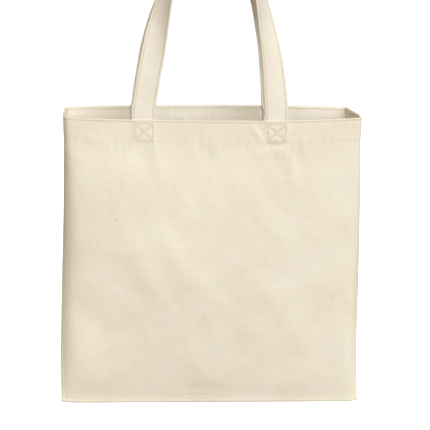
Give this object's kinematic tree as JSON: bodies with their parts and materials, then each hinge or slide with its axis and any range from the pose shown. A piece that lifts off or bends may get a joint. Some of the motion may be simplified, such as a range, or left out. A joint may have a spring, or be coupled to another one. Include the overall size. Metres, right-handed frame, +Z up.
{
  "type": "canvas tote bag",
  "caption": "Flat canvas tote bag with hemmed open mouth and folding fabric handles sewn inside the rim, hung up by its handles.",
  "frame": {"origin": "the hang point: midway between the two handles, on the underside of their crowns, where a hook or a hand bears", "axes": "+Z up, X along the bag's width, -Y is the front of the bag"},
  "size_m": [0.381, 0.0668, 0.6224],
  "materials": {
    "canvas": "natural unbleached plain-weave cotton canvas, matt",
    "strap_canvas": "the same canvas folded to a strap, matt",
    "seam_allowance": "raw canvas edges overlocked with cotton thread",
    "thread": "natural cotton sewing thread"
  },
  "bodies": {
    "bag": {"front_panel": "canvas", "back_panel": "canvas", "front_left_handle_end": "strap_canvas", "front_right_handle_end": "strap_canvas", "back_left_handle_end": "strap_canvas", "back_right_handle_end": "strap_canvas", "front_hem_stitching": "thread", "back_hem_stitching": "thread", "front_left_cross_stitch": "thread", "front_right_cross_stitch": "thread", "back_left_cross_stitch": "thread", "back_right_cross_stitch": "thread", "left_side_seam": "seam_allowance", "right_side_seam": "seam_allowance", "bottom_seam": "seam_allowance"},
    "front_handle": {"front_handle": "strap_canvas", "front_handle_stitching": "thread"},
    "back_handle": {"back_handle": "strap_canvas", "back_handle_stitching": "thread"}
  },
  "joints": [
    {"name": "front_handle_fold", "type": "hinge", "parent": "bag", "child": "front_handle", "pos_m": [0, -0.0294, -0.2345], "axis": [1, 0, 0], "range_deg": [0, 165]},
    {"name": "back_handle_fold", "type": "hinge", "parent": "bag", "child": "back_handle", "pos_m": [0, 0.0294, -0.2345], "axis": [-1, 0, 0], "range_deg": [0, 165]}
  ]
}
